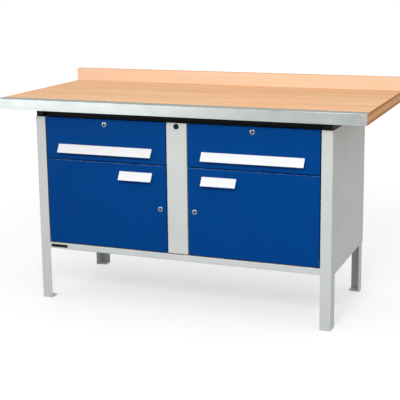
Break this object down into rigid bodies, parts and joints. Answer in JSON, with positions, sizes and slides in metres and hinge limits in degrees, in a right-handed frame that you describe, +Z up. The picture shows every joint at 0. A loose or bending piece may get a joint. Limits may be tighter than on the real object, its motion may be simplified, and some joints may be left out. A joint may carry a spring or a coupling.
{
  "type": "workbench",
  "caption": "Workbench with a beech worktop, rear upstand and steel front edge on a folded steel frame, with lockable drawers on slides over hinged cupboard doors.",
  "frame": {"origin": "on the floor, under the middle of the worktop", "axes": "+X along the bench to the right as seen from the front, +Y to the rear, +Z up"},
  "size_m": [1.5, 0.7, 0.896],
  "materials": {
    "beech": "oiled beech",
    "pale_beech": "pale oiled beech",
    "edge_steel": "zinc-plated sheet",
    "grey_paint": "light grey powder coat",
    "blue_paint": "blue powder coat",
    "black_paint": "matte black paint",
    "handle_paint": "near-white powder coat",
    "zinc_steel": "zinc-plated",
    "chrome": "polished",
    "black_plastic": "matte"
  },
  "bodies": {
    "bench": {"worktop": "beech", "worktop_front_edge": "edge_steel", "rear_upstand": "pale_beech", "leg_front_left": "grey_paint", "leg_front_right": "grey_paint", "leg_rear_left": "grey_paint", "leg_rear_right": "grey_paint", "side_top_rail_left": "black_paint", "side_top_rail_right": "black_paint", "front_top_rail": "black_paint", "rear_top_rail": "black_paint", "side_panel_left": "grey_paint", "side_panel_right": "grey_paint", "rear_panel": "grey_paint", "bottom_front_rail": "grey_paint", "cabinet_floor": "grey_paint", "centre_column": "grey_paint", "column_plug": "black_plastic", "cabinet_inner_wall_left": "grey_paint", "cabinet_inner_wall_right": "grey_paint", "cabinet_outer_wall_left": "grey_paint", "cabinet_outer_wall_right": "grey_paint", "cabinet_divider_left": "grey_paint", "cabinet_divider_right": "grey_paint", "shelf_left": "grey_paint", "shelf_right": "grey_paint", "slide_rail_left_inner": "zinc_steel", "slide_rail_left_outer": "zinc_steel", "slide_rail_right_inner": "zinc_steel", "slide_rail_right_outer": "zinc_steel", "hinge_pin_lower_left": "zinc_steel", "hinge_pin_lower_right": "zinc_steel", "hinge_pin_upper_left": "zinc_steel", "hinge_pin_upper_right": "zinc_steel"},
    "drawer_left": {"drawer_front_left": "blue_paint", "drawer_box_left": "grey_paint", "drawer_handle_left": "handle_paint", "slide_runner_left_inner": "zinc_steel", "slide_runner_left_outer": "zinc_steel"},
    "drawer_right": {"drawer_front_right": "blue_paint", "drawer_box_right": "grey_paint", "drawer_handle_right": "handle_paint", "slide_runner_right_inner": "zinc_steel", "slide_runner_right_outer": "zinc_steel"},
    "carriage_left": {"slide_carriage_left_inner": "zinc_steel", "slide_carriage_left_outer": "zinc_steel"},
    "carriage_right": {"slide_carriage_right_inner": "zinc_steel", "slide_carriage_right_outer": "zinc_steel"},
    "drawer_lock_left": {"drawer_left_lock_barrel": "chrome", "drawer_left_lock_cam": "zinc_steel"},
    "drawer_lock_right": {"drawer_right_lock_barrel": "chrome", "drawer_right_lock_cam": "zinc_steel"},
    "door_left": {"door_panel_left": "blue_paint", "door_handle_left": "handle_paint"},
    "door_right": {"door_panel_right": "blue_paint", "door_handle_right": "handle_paint"},
    "door_lock_left": {"door_left_lock_barrel": "chrome", "door_left_lock_cam": "zinc_steel"},
    "door_lock_right": {"door_right_lock_barrel": "chrome", "door_right_lock_cam": "zinc_steel"}
  },
  "joints": [
    {"name": "drawer_slide_left", "type": "slide", "parent": "bench", "child": "drawer_left", "axis": [0, -1, 0], "range_m": [0, 0.42]},
    {"name": "drawer_slide_right", "type": "slide", "parent": "bench", "child": "drawer_right", "axis": [0, -1, 0], "range_m": [0, 0.42]},
    {"name": "carriage_slide_left", "type": "slide", "parent": "bench", "child": "carriage_left", "axis": [0, -1, 0], "range_m": [0, 0.21]},
    {"name": "carriage_slide_right", "type": "slide", "parent": "bench", "child": "carriage_right", "axis": [0, -1, 0], "range_m": [0, 0.21]},
    {"name": "drawer_lock_turn_left", "type": "hinge", "parent": "drawer_left", "child": "drawer_lock_left", "pos_m": [-0.3075, -0.278, 0.7445], "axis": [0, -1, 0], "range_deg": [0, 90]},
    {"name": "drawer_lock_turn_right", "type": "hinge", "parent": "drawer_right", "child": "drawer_lock_right", "pos_m": [0.3075, -0.278, 0.7445], "axis": [0, 1, 0], "range_deg": [0, 90]},
    {"name": "door_hinge_left", "type": "hinge", "parent": "bench", "child": "door_left", "pos_m": [-0.559, -0.281, 0.418], "axis": [0, 0, -1], "range_deg": [0, 110]},
    {"name": "door_hinge_right", "type": "hinge", "parent": "bench", "child": "door_right", "pos_m": [0.559, -0.281, 0.418], "axis": [0, 0, 1], "range_deg": [0, 110]},
    {"name": "door_lock_turn_left", "type": "hinge", "parent": "door_left", "child": "door_lock_left", "pos_m": [-0.072, -0.278, 0.4189], "axis": [0, -1, 0], "range_deg": [0, 90]},
    {"name": "door_lock_turn_right", "type": "hinge", "parent": "door_right", "child": "door_lock_right", "pos_m": [0.072, -0.278, 0.4189], "axis": [0, 1, 0], "range_deg": [0, 90]}
  ],
  "couplings": [
    {"joint": "carriage_slide_left", "follows": "drawer_slide_left", "ratio": 0.5},
    {"joint": "carriage_slide_right", "follows": "drawer_slide_right", "ratio": 0.5}
  ]
}
